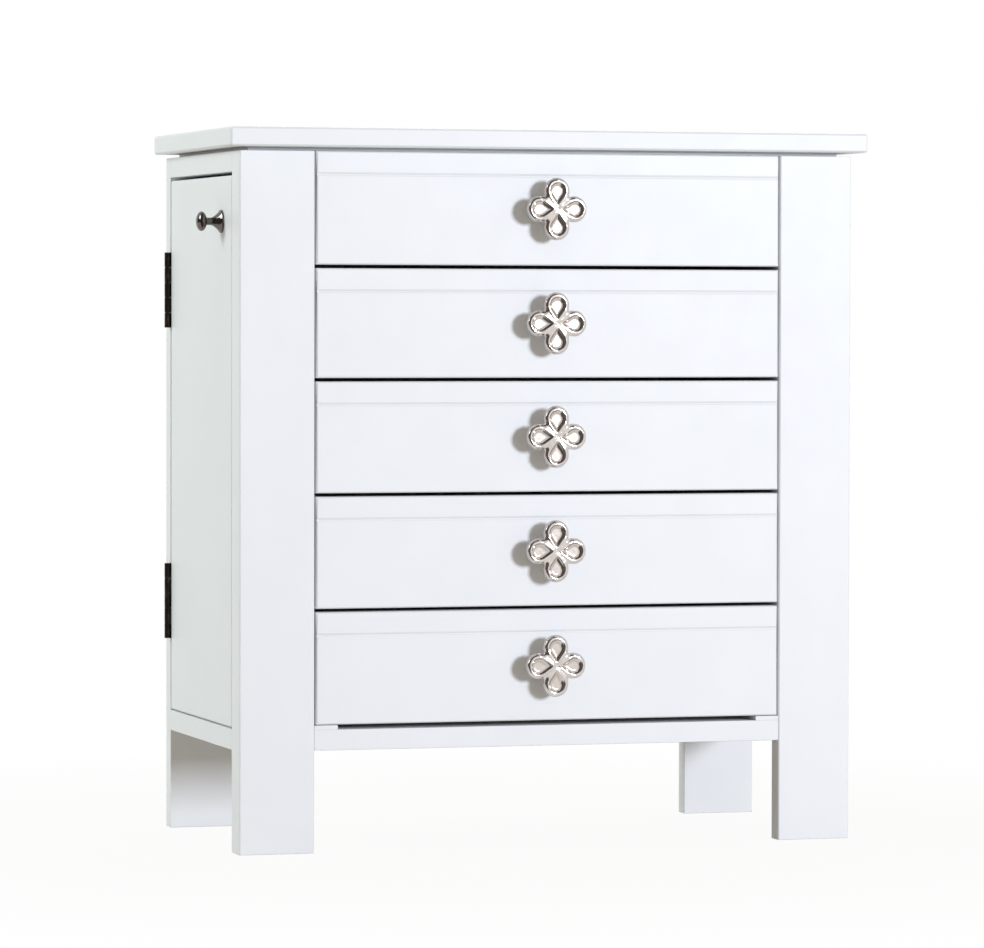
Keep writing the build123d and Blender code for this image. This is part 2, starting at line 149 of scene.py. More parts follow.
def between(factor, low, high, start=0.3, end=0.7):
    """Turn a factor into a number between low and high, or into a colour between two hex colours."""
    if isinstance(low, str):
        ramp = add_node(factor.id_data, "ShaderNodeValToRGB", wires={"Fac": factor})
        for stop, position, colour in zip(ramp.color_ramp.elements, (start, end), (low, high)):
            stop.position, stop.color = position, linear(colour)
        return ramp.outputs["Color"]
    return add_node(factor.id_data, "ShaderNodeMapRange", wires={"Value": factor},
                    values={"From Min": start, "From Max": end, "To Min": low, "To Max": high}
                    ).outputs["Result"]


def raise_surface(shader, height, depth_mm):
    """Bump the surface by a height pattern that is depth_mm deep."""
    bump = add_node(shader.id_data, "ShaderNodeBump", values={"Strength": 1.0, "Distance": depth_mm * MM},
                    wires={"Height": height})
    wire(shader, {"Normal": bump.outputs["Normal"]})


def one_pattern(name, constants, size_mm, colours, roughness, depth_mm=0, **noise):
    """A material in which one speckle chooses the colour and the roughness, and lifts the surface."""
    material, shader, place = new_material(name, constants)
    pattern = speckle(place, size_mm, **noise)
    wire(shader, {"Base Color": between(pattern, *colours), "Roughness": between(pattern, *roughness)})
    if depth_mm:
        raise_surface(shader, pattern, depth_mm)
    return material


print("a 2 mm speckle has a noise scale of", 1 / (2 * MM))

# %% [markdown]
# ## White lacquer on fibreboard
# The boards are medium-density fibreboard, sanded, primed and sprayed with a satin white lacquer. Sprayed
# lacquer levels out almost flat, but not quite: a faint orange peel about 2 mm wide stays, and the sheen
# varies a little from one finger's width to the next. The colour is a cool white.

# %% Painted board
def white_lacquer():
    """Satin sprayed lacquer: a cool white with a soft reflection broken by very fine orange peel."""
    material, shader, place = new_material("white_satin_lacquer", {"IOR": 1.5, "Coat Weight": 0.1,
                                                                   "Coat Roughness": 0.3})
    cloud, sheen = speckle(place, 55), speckle(place, 18, detail=3)
    wire(shader, {"Base Color": between(cloud, "F2F6F9", "F4F8FB"),
                  "Roughness": between(sheen, 0.45, 0.50)})
    orange_peel = speckle(place, 2.2, detail=1)
    raise_surface(shader, orange_peel, depth_mm=0.006)
    return material


painted = white_lacquer()
print(painted.name, "has", len(painted.node_tree.nodes), "nodes")

# %% [markdown]
# ## Hidden board and wood
# The drawer bottoms are thin hardboard, pressed from wood fibre, so they are a warm grey-white with short
# fibres. The runners are planed beech: pale pinkish brown, with long grain and the short dark flecks that
# give beech away. The grain runs along the strip, from front to back.

# %% Hardboard and beech
def hardboard():
    """Pressed fibreboard under a thin pale wash: matt, with short fibres showing through."""
    return one_pattern("washed_hardboard", {"IOR": 1.5}, 1.6, ("CFC8BB", "E2DDD2"), (0.75, 0.6),
                       depth_mm=0.03, detail=4, stretch=(3, 1, 1))


def planed_beech():
    """Planed beech: soft grain lines along the strip and short darker ray flecks."""
    material, shader, place = new_material("planed_beech", {"IOR": 1.5})
    grain = speckle(place, 1.2, detail=3, stretch=(1, 40, 1))
    flecks = speckle(place, 0.7, detail=1, stretch=(1, 6, 1))
    flecked = add_node(place.id_data, "ShaderNodeMix", {"data_type": "RGBA"}, {"B": linear("A97B50")},
                       {"Factor": between(flecks, 0.0, 0.6, start=0.62, end=0.72),
                        "A": between(grain, "D6B084", "E6CBA3")})
    wire(shader, {"Base Color": flecked.outputs["Result"],
                  "Roughness": between(grain, 0.45, 0.58)})
    raise_surface(shader, grain, depth_mm=0.02)
    return material


hardboard_panel, beech = hardboard(), planed_beech()
print("board and wood:", hardboard_panel.name, beech.name)

# %% [markdown]
# ## Nickel on the cast knobs
# The drawer knobs are zinc castings, polished on the high parts and plated with nickel, which is a warm
# silver. The plating pools in the dishes and stays duller there, so the shader reads how deep each point
# lies. A metal keeps the default IOR, and its colour is the colour of its reflection.

# %% Cast nickel
def cast_nickel():
    """Nickel plate on a casting: bright and smooth on the rims, duller and darker down in the dishes."""
    material, shader, place = new_material("nickel_plated_casting", {"Metallic": 1.0})
    depth = add_node(place.id_data, "ShaderNodeAttribute", {"attribute_name": "recess"}).outputs["Fac"]
    mottle, casting_waves = speckle(place, 2.5), speckle(place, 1.8, detail=1)
    toned = add_node(place.id_data, "ShaderNodeMix", {"data_type": "RGBA"}, {"B": linear("C0B7B0")},
                     {"Factor": depth, "A": between(mottle, "CDC5C0", "D8D1CC")})
    wire(shader, {"Base Color": toned.outputs["Result"],
                  "Roughness": between(depth, 0.10, 0.16, start=0, end=1)})
    raise_surface(shader, casting_waves, depth_mm=0.02)
    return material


nickel = cast_nickel()
print(nickel.name, "reads the dish depth of each point")

# %% [markdown]
# ## Black nickel, bronzed steel and zinc
# The door knobs are turned brass under black nickel, a dark mirror. The hinges are stamped steel with a
# bronzed, nearly black finish that rubs brighter in small patches. Hooks and strikes are zinc-plated steel,
# a cool silver with faint crystals.

# %% Hardware metals
def black_nickel():
    """Black nickel on turned brass: a dark mirror with faint turning lines."""
    return one_pattern("black_nickel_plate", {"Metallic": 1.0}, 0.5, ("5F5955", "706965"), (0.10, 0.16),
                       depth_mm=0.002, detail=1, stretch=(0.5, 8, 8))


def bronzed_steel():
    """Bronzed steel: a very dark brown skin, rubbed to a dull copper brown in small patches."""
    material, shader, place = new_material("bronzed_steel", {"Metallic": 0.85})
    rubbed = speckle(place, 3.0, detail=4)
    wire(shader, {"Base Color": between(rubbed, "2A2522", "5C4B3E", start=0.5, end=0.8),
                  "Roughness": between(rubbed, 0.48, 0.32)})
    raise_surface(shader, speckle(place, 0.6), depth_mm=0.01)
    return material


def zinc_plated_steel():
    """Bright zinc on steel: cool silver with faint crystal patches."""
    material, shader, place = new_material("zinc_plated_steel", {"Metallic": 1.0})
    crystals = add_node(place.id_data, "ShaderNodeTexVoronoi", values={"Scale": 1 / (3.0 * MM)},
                        wires={"Vector": place}).outputs["Distance"]
    wire(shader, {"Base Color": between(crystals, "CCCFD1", "D6D8DA", start=0, end=0.6),
                  "Roughness": between(crystals, 0.28, 0.34, start=0, end=0.6)})
    raise_surface(shader, speckle(place, 0.8), depth_mm=0.003)
    return material


dark_nickel, bronze, zinc = black_nickel(), bronzed_steel(), zinc_plated_steel()
print("metals:", dark_nickel.name, bronze.name, zinc.name)

# %% [markdown]
# ## Velvet and mirror glass
# The drawers and the tray are lined with a short-pile velvet. Velvet is dark when the eye looks straight
# into the pile and pale along its edge, which the sheen does, and a hand leaves lighter and darker strokes
# in it. The mirror is float glass silvered on its back.

# %% Velvet and mirror
def champagne_velvet():
    """Short-pile velvet: stroked patches, a pale edge sheen and a pile about half a millimetre thick."""
    material, shader, place = new_material("champagne_velvet", {
        "Roughness": 0.95, "Sheen Weight": 0.8, "Sheen Roughness": 0.35,
        "Sheen Tint": linear("F3ECE2"), "Specular IOR Level": 0.2})
    strokes = speckle(place, 14, detail=3, stretch=(2.5, 1, 1))
    wire(shader, {"Base Color": between(strokes, "C6BCAE", "DAD2C6")})
    pile = speckle(place, 0.5, detail=2)
    raise_surface(shader, pile, depth_mm=0.25)
    return material


def silvered_glass():
    """A glass mirror: silver seen through clear float glass, with a trace of wiping marks."""
    coated_silver = {"Metallic": 1.0, "Coat Weight": 1.0, "Coat Roughness": 0.01}
    return one_pattern("silvered_mirror_glass", coated_silver, 25, ("DDE4E2", "E4EAE8"), (0.012, 0.04),
                       detail=4, stretch=(4, 1, 1))


velvet, mirror_glass = champagne_velvet(), silvered_glass()
print("inside:", velvet.name, mirror_glass.name)

# %% [markdown]
# ## Rubber and moulded plastic
# The bumpers under the lid are clear soft rubber. They are so small that most of what they show is their
# milky skin, so only a third of the light goes through. The catch cases are injection-moulded ABS.

# %% Rubber and plastic
def clear_rubber():
    """Clear polyurethane bumper: soft, slightly milky, with a satin skin."""
    return one_pattern("clear_polyurethane", {"IOR": 1.49, "Transmission Weight": 0.35}, 1.5,
                       ("E6EBEC", "F4F7F7"), (0.22, 0.34))


def moulded_abs():
    """Injection-moulded white ABS with a fine spark-eroded texture."""
    return one_pattern("white_moulded_abs", {"IOR": 1.54}, 0.35, ("E6E5E0", "EFEEEA"), (0.42, 0.52),
                       depth_mm=0.02, detail=2)


rubber, abs_white = clear_rubber(), moulded_abs()
print("moulded:", rubber.name, abs_white.name)

# %% [markdown]
# ## The boards: same shape, softer edges
# Each board keeps its mesh. Two modifiers only change how its edges look: one welds the doubled corner
# points, the other rounds each sharp edge by a few tenths of a millimetre, as the lacquer does when it is
# sprayed over a sanded edge. Without that roundness an edge catches no light and looks drawn.

# %% Finish the model's own pieces
finish_of_slot = {"painted_board": painted, "bottom_panel": hardboard_panel, "runner_wood": beech,
                  "cast_nickel": nickel, "dark_nickel": dark_nickel, "bronzed_steel": bronze, "steel": zinc,
                  "velvet": velvet, "silvered_glass": mirror_glass, "clear_rubber": rubber,
                  "magnet_case": abs_white}
edge_radius_of_slot = {"painted_board": 0.3, "bottom_panel": 0.2, "runner_wood": 0.4, "magnet_case": 0.6,
                       "silvered_glass": 0.5, "steel": 0.15}
seam_tolerance, sharp_angle = 0.01 * MM, math.radians(25)


def soften_edges(piece, radius_mm):
    """Weld the mesh's seams and round its sharp edges, leaving the flat faces flat."""
    custom = piece.data.attributes.get("custom_normal")
    if custom:
        piece.data.attributes.remove(custom)
    piece.data.shade_smooth()
    weld = piece.modifiers.new("weld", "WELD")
    weld.merge_threshold = seam_tolerance
    bevel = piece.modifiers.new("edge", "BEVEL")
    bevel.width, bevel.segments = radius_mm * MM, 2
    bevel.limit_method, bevel.angle_limit = "ANGLE", sharp_angle
    bevel.harden_normals = True


for name, piece in nodes.items():
    slot = slot_of_node[name]
    piece.data.materials.clear()
    piece.data.materials.append(finish_of_slot[slot])
    if slot in edge_radius_of_slot:
        soften_edges(piece, edge_radius_of_slot[slot])
print("finished", len(nodes), "pieces in", len(finish_of_slot), "finishes")

# %% [markdown]
# ## Painted guide strips
# The lowest drawer runs on two low strips that lie on the bottom board. Their front ends show beside the
# lowest front, so on the real chest they are painted with the case, while the runners above them stay bare.
# The same piece of the model holds both, so its faces are given two finishes by their height.

# %% Paint the low strips
runners = nodes["drawer_runners"]
runners.data.materials.append(painted)
strip_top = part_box("drawer_5_front")[0].z
for face in runners.data.polygons:
    if max(runners.data.vertices[v].co.z for v in face.vertices) < strip_top:
        face.material_index = 1
print(sum(face.material_index for face in runners.data.polygons), "strip faces painted")

# %% [markdown]
# ## Making meshes from rings
# Most turned, cast and padded pieces can be described as a stack of closed rings of points: the first ring
# round one end, the last round the other, and a skin between them. That gives even quads, which shade
# smoothly, and serves knobs, screws, linings and ring rolls alike. A second function makes an object of
# such a skin and lets it ride on the body of the model piece that it belongs to.

# %% Rings to meshes
def skin(rings):
    """Points and faces of a closed skin over equal rings, with a fan over each end."""
    rings = [np.asarray(ring, float) for ring in rings]
    count = len(rings[0])
    points = np.vstack(rings + [rings[0].mean(0)[None], rings[-1].mean(0)[None]])
    faces = []
    for k in range(len(rings) - 1):
        for i in range(count):
            j = (i + 1) % count
            faces.append((k * count + i, k * count + j, (k + 1) * count + j, (k + 1) * count + i))
    first_pole, last_pole = len(points) - 2, len(points) - 1
    last = (len(rings) - 1) * count
    for i in range(count):
        j = (i + 1) % count
        faces.append((first_pole, j, i))
        faces.append((last_pole, last + i, last + j))
    return points, faces


def join_shells(shells):
    """Several (points, faces) shells as one."""
    points, faces, start = [], [], 0
    for shell_points, shell_faces in shells:
        points.append(shell_points)
        faces += [tuple(start + v for v in face) for face in shell_faces]
        start += len(shell_points)
    return np.vstack(points), faces


def make_piece(name, shell, material, like, replaced=(), sharp_degrees=40):
    """A smooth-shaded object from a shell in metres, riding on the body of a model piece."""
    points, faces = shell
    mesh = bpy.data.meshes.new(name)
    mesh.from_pydata([tuple(p) for p in points], [], faces)
    cleaned = bmesh.new()
    cleaned.from_mesh(mesh)
    bmesh.ops.remove_doubles(cleaned, verts=cleaned.verts, dist=1e-7)
    bmesh.ops.recalc_face_normals(cleaned, faces=cleaned.faces)
    cleaned.to_mesh(mesh)
    cleaned.free()
    mesh.shade_smooth()
    mesh.set_sharp_from_angle(angle=math.radians(sharp_degrees))
    mesh.materials.append(material)
    piece = add_object(name, mesh)
    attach(piece, body_of_node[like])
    if replaced:
        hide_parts(*replaced)
    return piece


sample = skin([[(0, 0, z), (1, 0, z), (1, 1, z), (0, 1, z)] for z in (0, 1)])
print("a skin over two square rings has", len(sample[1]), "faces")

# %% [markdown]
# ### Turned pieces
# What a lathe makes is one profile swept round an axis. The profile is given as on a drawing: by its
# corners, each with the radius of the arc that rounds it.

# %% Profiles and turning
def rotated(x, y, angle):
    """A point, or arrays of points, turned about the origin by an angle in radians."""
    return np.array((x * math.cos(angle) - y * math.sin(angle), x * math.sin(angle) + y * math.cos(angle)))


def even_angles(count):
    """The angles, in radians, of count points spread evenly round a circle."""
    return np.arange(count) * 2 * math.pi / count


def rounded_profile(corners, step=0.25):
    """A path through (along, radius, corner radius) points in mm, each corner swept by an arc."""
    path = [np.array(corners[0][:2], float)]
    for before, corner, after in zip(corners, corners[1:], corners[2:]):
        here = np.array(corner[:2], float)
        back = np.array(before[:2], float) - here
        forth = np.array(after[:2], float) - here
        back, forth = back / np.linalg.norm(back), forth / np.linalg.norm(forth)
        half = math.acos(max(-1, min(1, float(back @ forth)))) / 2
        if corner[2] <= 0 or half > math.radians(89):
            path.append(here)
            continue
        centre = here + (back + forth) / np.linalg.norm(back + forth) * corner[2] / math.sin(half)
        start = here + back * corner[2] / math.tan(half) - centre
        end = here + forth * corner[2] / math.tan(half) - centre
        sweep = math.pi - 2 * half
        turn = math.copysign(sweep, start[0] * end[1] - start[1] * end[0])
        steps = max(2, int(sweep * corner[2] / step))
        path += [centre + rotated(*start, turn * k / steps) for k in range(steps + 1)]
    path.append(np.array(corners[-1][:2], float))
    return path


def turned(profile, seat, along, around=64):
    """Rings of a lathe-turned piece: profile in mm (distance along, radius), in place in metres."""
    along = Vector(along).normalized()
    side = along.orthogonal().normalized()
    other = along.cross(side)
    angles = even_angles(around)
    circle = np.outer(np.cos(angles), side) + np.outer(np.sin(angles), other)
    return [np.array(seat) + np.array(along) * a * MM + circle * max(r, 0.02) * MM for a, r in profile]


sample = rounded_profile([(0, 5, 0), (5, 5, 2), (5, 0, 0)])
print("a 90 degree corner of radius 2 mm takes", len(sample), "points")

# %% [markdown]
# ## The quatrefoil drawer knobs
# This is the piece that the eye goes to. The real one is cast: a plate of four round lobes with a teardrop
# dish sunk into each, so that a raised bead runs round every dish and the middle is left as a bright cross.
# It stands off the drawer on a short stem. A sculpt would do, but the form is regular, so it is worked out:
# the outline is arcs, every point inside it knows how far it is from the rim and from the nearest dish, and
# its height follows from those two distances.

# %% The knob's outline and dishes
lobe_offset, lobe_radius, cusp_radius = 9.3, 6.7, 0.8
dish_far, dish_far_radius = 9.5, 4.3
dish_near, dish_near_radius = 3.4, 0.8
plate_thickness, rim_radius, back_radius = 3.4, 2.6, 0.5
dish_depth, dish_wall, bead_height = 1.35, 2.2, 0.25
plate_half = lobe_offset + lobe_radius


def quatrefoil(spacing=0.55):
    """Points along the plate's outline: four lobe arcs joined by small cusp arcs, in mm."""
    reach = lobe_radius + cusp_radius
    cusp = (math.sqrt(2) * lobe_offset
            + math.sqrt(2 * lobe_offset ** 2 - 4 * (lobe_offset ** 2 - reach ** 2))) / 2
    cusp_at = np.array((cusp, cusp)) / math.sqrt(2)
    towards = (cusp_at - (lobe_offset, 0)) / reach
    opening = math.atan2(towards[1], towards[0])
    lobe_steps, cusp_steps = int(2 * opening * lobe_radius / spacing), 4
    cusp_sweep = 2 * opening - math.pi / 2
    quarter = []
    for k in range(lobe_steps):
        quarter.append(rotated(lobe_radius, 0, opening * (2 * k / lobe_steps - 1)) + (lobe_offset, 0))
    for k in range(cusp_steps):
        quarter.append(rotated(cusp_radius, 0, opening + math.pi - cusp_sweep * k / cusp_steps) + cusp_at)
    return np.array([rotated(*point, turn) for turn in even_angles(4) for point in quarter])


def inside_teardrops(spots):
    """How far each spot lies inside the nearest dish outline, negative outside, in mm."""
    along = dish_far - dish_near
    lean = (dish_near_radius - dish_far_radius) / along
    up = math.sqrt(1 - lean * lean)
    best = np.full(len(spots), -1e9)
    for turn in even_angles(4):
        x, y = rotated(*spots.T, -turn)
        x, y = x - dish_near, np.abs(y)
        side = -lean * y + up * x
        near = np.hypot(x, y) - dish_near_radius
        far = np.hypot(x - along, y) - dish_far_radius
        flank = y * up + x * lean - dish_near_radius
        distance = np.where(side < 0, near, np.where(side > up * along, far, flank))
        best = np.maximum(best, -distance)
    return best


knob_outline = quatrefoil()
print("outline of", len(knob_outline), "points,", round(2 * np.abs(knob_outline).max(), 1), "mm across")

# %% [markdown]
# ### From distances to height
# The rim rolls over like a quarter round. Round each dish a low bead stands up, and inside it the metal
# sinks like a spoon: steep at the bead, level at the bottom. So one wall of each dish always looks towards
# the dark side of the room, and that crescent is what makes the knobs sparkle.

# %% The knob's relief
dish_lead, bead_place, bead_spread = 0.1, 0.8, 0.7


def smooth_step(value):
    """0 below 0, 1 above 1, and an even curve between."""
    value = np.clip(value, 0, 1)
    return value * value * (3 - 2 * value)


def knob_height(spots, from_rim):
    """Height of the knob's face below its highest plane, and how deep in a dish each spot is."""
    inside = inside_teardrops(spots)
    rolled = np.clip(rim_radius - from_rim, 0, rim_radius)
    rim = rim_radius - np.sqrt(rim_radius ** 2 - rolled ** 2)
    share = np.clip((inside + dish_lead) / dish_wall, 0, 1)
    bowl = 1 - (1 - share) ** 2
    bead = np.exp(-((inside + bead_place) / bead_spread) ** 2)
    return -(bead_height * (1 - bead) + dish_depth * bowl + rim), smooth_step(share)


def knob_rings(reach):
    """Rings over the knob's plate, from the middle of its back round the rim to its face's middle."""
    back = reach - plate_thickness
    back_rings = [(size, back) for size in (0.44, 0.72, 0.904, 0.968)]
    for a in (math.pi / 8, math.pi / 4, 3 * math.pi / 8):
        back_rings.append((1 - back_radius * (1 - math.sin(a)) / plate_half,
                           back + back_radius * (1 - math.cos(a))))
    rings = [np.column_stack((knob_outline * size, np.full(len(knob_outline), level)))
             for size, level in back_rings]
    depths = [np.zeros(len(knob_outline)) for ring in rings]
    # the rings lie closest together where the rim rolls over, and evenly over the face
    rim_insets, face_insets = np.linspace(0, 1, 9) ** 1.8 * 0.075, np.linspace(0.095, 0.985, 44)
    fine_outline = quatrefoil(0.12)
    for inset in np.concatenate((rim_insets, face_insets)):
        spots = knob_outline * (1 - inset)
        gaps = np.sqrt(((spots[:, None, :] - fine_outline[None]) ** 2).sum(2)).min(1)
        height, depth = knob_height(spots, gaps)
        rings.append(np.column_stack((spots, reach + height)))
        depths.append(depth)
    return rings, np.concatenate(depths + [np.zeros(2)])


def place_on_front(points, seat):
    """Knob points (right, up, out) in mm onto the drawer front, in metres."""
    return np.column_stack((points[:, 0], -points[:, 2], points[:, 1])) * MM + np.array(seat)


plate_rings, recess = knob_rings(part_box("drawer_1_front")[0].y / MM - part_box("drawer_1_knob")[0].y / MM)
print(len(plate_rings), "rings of", len(plate_rings[0]), "points, deepest", round(float(recess.max()), 2))

# %% [markdown]
# ### Plate and stem together
# A turned stem joins the plate to the drawer: a foot on the paint, a waist, and a collar that runs a little
# way into the plate. How deep each point lies in its dish is kept with the mesh, for the plating to read.

# %% Make the five knobs
def knob_stem(seat, reach):
    """The turned stem behind the plate: a foot against the drawer, a waist, and a collar at the plate."""
    foot_radius, waist_radius, collar_radius = 5.9, 3.3, 4.9
    plate_back = reach - plate_thickness
    profile = rounded_profile([
        (0.0, 0, 0), (0.0, foot_radius, 0), (1.1, foot_radius, 0.5), (1.9, 4.2, 0.9),
        (3.6, waist_radius, 2.0), (6.2, waist_radius, 2.0), (plate_back + 0.4, collar_radius, 0),
        (plate_back + 0.5, 0, 0)])
    return skin(turned(profile, seat, (0, -1, 0), 48))


def drawer_knob(number):
    """One cast knob in its place on a drawer front."""
    node = f"drawer_{number}_knob"
    low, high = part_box(node)
    middle = (low + high) / 2
    seat = (middle.x, high.y, middle.z)
    reach = (high.y - low.y) / MM
    plate = skin([place_on_front(ring, seat) for ring in plate_rings])
    shell = join_shells([plate, knob_stem(seat, reach)])
    piece = make_piece(f"cast_knob_{number}", shell, nickel, node, (node,), sharp_degrees=70)
    depth = piece.data.attributes.new("recess", "FLOAT", "POINT")
    values = np.zeros(len(piece.data.vertices))
    values[:len(recess)] = recess
    depth.data.foreach_set("value", values.astype(np.float32))
    return piece


knobs = [drawer_knob(number) for number in range(1, 6)]
print("each knob has", len(knobs[0].data.polygons), "faces")

# %% [markdown]
# ## The turned door knobs
# The side knobs are small brass turnings: a foot that flares out to the door, a thin neck and a flattened
# ball for a head. A lathe makes them from one profile, and so does this cell. The foot's corners are swept
# by arcs and the head is half an ellipse, so the plating shows clean lines of light.

# %% Door knobs
def door_knob(side):
    """A turned knob on one door, from its foot on the paint to its crown."""
    node = f"{side}_door_knob"
    low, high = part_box(node)
    outwards, foot_x = (-1, high.x) if side == "left" else (1, low.x)
    seat = (foot_x, (low.y + high.y) / 2, (low.z + high.z) / 2)
    reach = (high.x - low.x) / MM
    foot_radius, neck_radius, head_radius, half_head = 5.95, 1.9, 5.05, 2.75
    profile = rounded_profile([
        (0.0, 0, 0), (0.0, foot_radius, 0), (0.9, foot_radius, 0.35), (1.7, 4.7, 1.2), (3.6, 2.9, 2.2),
        (5.4, neck_radius, 2.0), (reach - 2 * half_head, neck_radius, 0)])
    start = math.asin(neck_radius / head_radius)
    for angle in np.linspace(start, math.pi, 25):
        profile.append((reach - half_head - half_head * math.cos(angle), head_radius * math.sin(angle)))
    shell = skin(turned(profile, seat, (outwards, 0, 0), 64))
    return make_piece(f"turned_knob_{side}", shell, dark_nickel, node, (node,), sharp_degrees=50)


door_knobs = [door_knob(side) for side in ("left", "right")]
print("each door knob has", len(door_knobs[0].data.polygons), "faces")

# %% [markdown]
# ## Screws
# Every hinge leaf is held by countersunk screws with a cross recess, and so are the strikes and the hook
# bars. A screw is small but its absence is noticed, because a leaf without screws looks glued. The head is a
# low dome on a polar grid, and the cross is cut by lowering the grid points inside it.

# %% Countersunk screws
def screw_head(seat, out, radius_mm, turn, sunk_mm=0.05):
    """A countersunk head lying in its leaf: a low dome with a cross recess turned by so many radians."""
    out = Vector(out).normalized()
    side = out.orthogonal().normalized()
    other = out.cross(side)
    around, dome_rise, edge_height, head_height = 32, 0.12, 0.12, 0.7
    angles = even_angles(around)
    slot_half, slot_reach, slot_depth = 0.13 * radius_mm, 0.62 * radius_mm, 0.45
    rings = [(share, np.full(around, level))
             for share, level in ((0.75, -head_height), (1.0, -edge_height), (1.0, 0.0))]
    for share in (0.97, 0.9, 0.8, 0.68, 0.62, 0.55, 0.45, 0.35, 0.25, 0.18, 0.12, 0.06):
        x, y = share * radius_mm * np.cos(angles + turn), share * radius_mm * np.sin(angles + turn)
        in_slot = (np.minimum(np.abs(x), np.abs(y)) < slot_half) & (np.hypot(x, y) < slot_reach)
        dome = dome_rise * (1 - share ** 2)
        rings.append((share, np.where(in_slot, dome - slot_depth, dome)))
    placed = []
    for share, level in rings:
        flat = share * radius_mm * MM * (np.outer(np.cos(angles), side) + np.outer(np.sin(angles), other))
        placed.append(np.array(seat) + flat + np.outer((level - dome_rise - sunk_mm) * MM, out))
    return skin(placed)


def screw_row(name, like, seats, out, radius_mm=1.7):
    """One object of equal screws; each is turned by its own angle, as a hand leaves them."""
    heads = [screw_head(seat, out, radius_mm, turn=0.7 * i) for i, seat in enumerate(seats)]
    finish = bronze if slot_of_node[like] == "bronzed_steel" else zinc
    return make_piece(name, join_shells(heads), finish, like, sharp_degrees=35)


sample = screw_head((0, 0, 0), (0, 0, 1), 1.7, turn=0)
print("a screw head has", len(sample[1]), "faces")

# %% [markdown]
# A door hinge carries three screws on each leaf, in the middle of the leaf's width. The two leaves face each
# other when the door is shut, so their screws only show when it stands open.

# %% Door hinge screws
hinge_length, screw_pitch, leaf_gap, leaf_thickness = 40 * MM, 13 * MM, 0.4 * MM, 0.9 * MM
screw_levels = (-screw_pitch, 0, screw_pitch)
screws_from_pin = 6.2 * MM
for side, sign in (("left", -1), ("right", 1)):
    low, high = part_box(f"{side}_door_hinge_pins")
    pin_x, pin_y = (low.x + high.x) / 2, (low.y + high.y) / 2
    leaf_x = pin_x - sign * screws_from_pin
    heights = [centre + level for centre in (low.z + hinge_length / 2, high.z - hinge_length / 2)
               for level in screw_levels]
    for half, out in (("fixed", -1), ("moving", 1)):
        visible_face = pin_y - out * leaf_gap / 2
        screw_row(f"{side}_hinge_{half}_screws", f"{side}_door_hinge_{half}_leaves",
                  [(leaf_x, visible_face, z) for z in heights], (0, out, 0))
print("the leaves of a door are held by", len(heights), "screws on each side of the pins")

# %% [markdown]
# The lid's two hinges lie flat against the back of the case and of the lid, with their screws midway between
# the barrel and the leaf's far edge.

# %% Lid hinge screws
low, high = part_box("lid_hinge_pins")
lid_pin_z = (low.z + high.z) / 2
barrel_reach = 2.1 * MM
for half, sign in (("fixed", -1), ("moving", 1)):
    node = f"lid_hinge_{half}_leaves"
    leaf_low, leaf_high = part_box(node)
    leaf_face_y = leaf_low.y + leaf_thickness
    leaf_edge = leaf_low.z if sign < 0 else leaf_high.z
    level = (leaf_edge + lid_pin_z + sign * barrel_reach) / 2
    seats = [(centre + shift, leaf_face_y, level)
             for centre in (low.x + hinge_length / 2, high.x - hinge_length / 2) for shift in screw_levels]
    screw_row(f"lid_hinge_{half}_screws", node, seats, (0, 1, 0), radius_mm=1.6)
print("lid leaves lie at", round(leaf_face_y / MM, 2), "mm")

# %% [markdown]
# The knuckles of a hinge don't rub on each other: a thin washer lies between each pair. Without them a
# sliver of daylight would show through every joint of the barrel.

# %% Hinge washers
knuckle_gap, washer_thickness, washer_radius = 0.3 * MM, 0.28, 1.4
washer_profile = [(0.0, 0.0), (0.0, washer_radius), (washer_thickness, washer_radius),
                  (washer_thickness, 0.0)]


def washers(name, stem, axis, count):
    """Washers in the gaps of a pair of hinges, whose pins lie along an axis and hold count knuckles each."""
    low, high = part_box(f"{stem}_pins")
    pitch = (hinge_length + knuckle_gap) / count
    along = Vector([float(i == axis) for i in range(3)])
    shells = []
    for hinge_start in (low[axis], high[axis] - hinge_length):
        for k in range(1, count):
            seat = (low + high) / 2
            seat[axis] = hinge_start + k * pitch - knuckle_gap / 2 - washer_thickness / 2 * MM
            shells.append(skin(turned(washer_profile, seat, along, 32)))
    make_piece(name, join_shells(shells), bronze, f"{stem}_fixed_leaves", sharp_degrees=30)
    return len(shells)


washer_count = (washers("left_hinge_washers", "left_door_hinge", 2, 5)
                + washers("right_hinge_washers", "right_door_hinge", 2, 5)
                + washers("lid_hinge_washers", "lid_hinge", 0, 3))
print(washer_count, "washers lie in the barrels")

# %% [markdown]
# The strikes on the doors, which the magnets pull, and the bars that carry the necklace hooks are held by
# screws of the same kind: one through the middle of each strike, one near each end of a bar.

# %% Strike and hook bar screws
bar_thickness, screw_below_top, screw_from_end = 1.2 * MM, 3.2 * MM, 4 * MM
for side, sign in (("left", -1), ("right", 1)):
    low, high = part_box(f"{side}_door_strike")
    middle = (low + high) / 2
    inner_x = high.x if side == "left" else low.x
    screw_row(f"{side}_strike_screw", f"{side}_door_strike", [(inner_x, middle.y, middle.z)],
              (-sign, 0, 0), 2.0)
    low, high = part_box(f"{side}_necklace_hooks")
    bar_x = (high.x if side == "left" else low.x) + sign * bar_thickness
    ends = [(bar_x, y, high.z - screw_below_top) for y in (low.y + screw_from_end, high.y - screw_from_end)]
    screw_row(f"{side}_hook_bar_screws", f"{side}_necklace_hooks", ends, (sign, 0, 0), 1.6)
print("strikes and hook bars are screwed on")

# %% [markdown]
# ## Velvet linings
# A lining is cut from velvet-covered card and pressed into the drawer, so its inner corners are round and
# its top edge is folded over. Each one is a stack of rounded rectangles: up the outside, over the folded
# edge, down the inside, round the bottom corner and across a floor that crowns very slightly.

